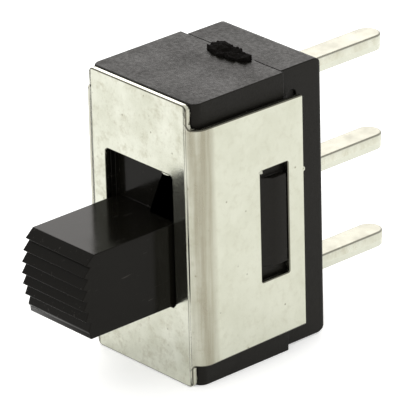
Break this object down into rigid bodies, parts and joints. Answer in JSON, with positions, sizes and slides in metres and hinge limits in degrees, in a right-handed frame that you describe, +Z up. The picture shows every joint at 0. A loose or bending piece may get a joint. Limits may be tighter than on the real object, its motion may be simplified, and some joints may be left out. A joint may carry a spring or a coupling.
{
  "type": "slide switch",
  "caption": "Miniature slide switch: black moulded housing in a folded steel frame, ribbed knob in a window, flat board terminals in a row behind.",
  "frame": {"origin": "middle of the seating face that lies on the circuit board, on the line of the terminals", "axes": "+Y out of the seating face along the terminals, so the knob points to -Y; +Z up along the slider's travel; X across the switch. At rest the slider is at its lower stop."},
  "size_m": [0.0072, 0.0188, 0.0132],
  "materials": {
    "black_nylon": "satin, as moulded",
    "black_acetal": "satin, as moulded",
    "natural_acetal": "satin",
    "tinned_steel": "bright tin plate over rolled sheet",
    "spring_steel": "drawn wire",
    "silvered_bronze": "silver plate",
    "tinned_brass": "tin plate over a blanked edge"
  },
  "bodies": {
    "base": {"housing": "black_nylon", "frame": "tinned_steel", "terminal_upper": "tinned_brass", "terminal_centre": "tinned_brass", "terminal_lower": "tinned_brass"},
    "slide": {"slider": "black_acetal", "spring": "spring_steel"},
    "pusher": {"plunger": "natural_acetal"},
    "contact": {"rocker": "silvered_bronze"}
  },
  "joints": [
    {"name": "slider_travel", "type": "slide", "parent": "base", "child": "slide", "axis": [0, 0, 1], "range_m": [0, 0.0022]},
    {"name": "plunger_press", "type": "slide", "parent": "slide", "child": "pusher", "axis": [0, -1, 0], "range_m": [0, 0.0005], "stiffness_N_per_m": 300, "deforming": ["spring"]},
    {"name": "rocker_tilt", "type": "hinge", "parent": "base", "child": "contact", "pos_m": [0, -0.002, 0], "axis": [-1, 0, 0], "range_deg": [0, 12]}
  ],
  "couplings": [
    {"joint": "rocker_tilt", "follows": "slider_travel", "rad_per_m": 95.19}
  ]
}
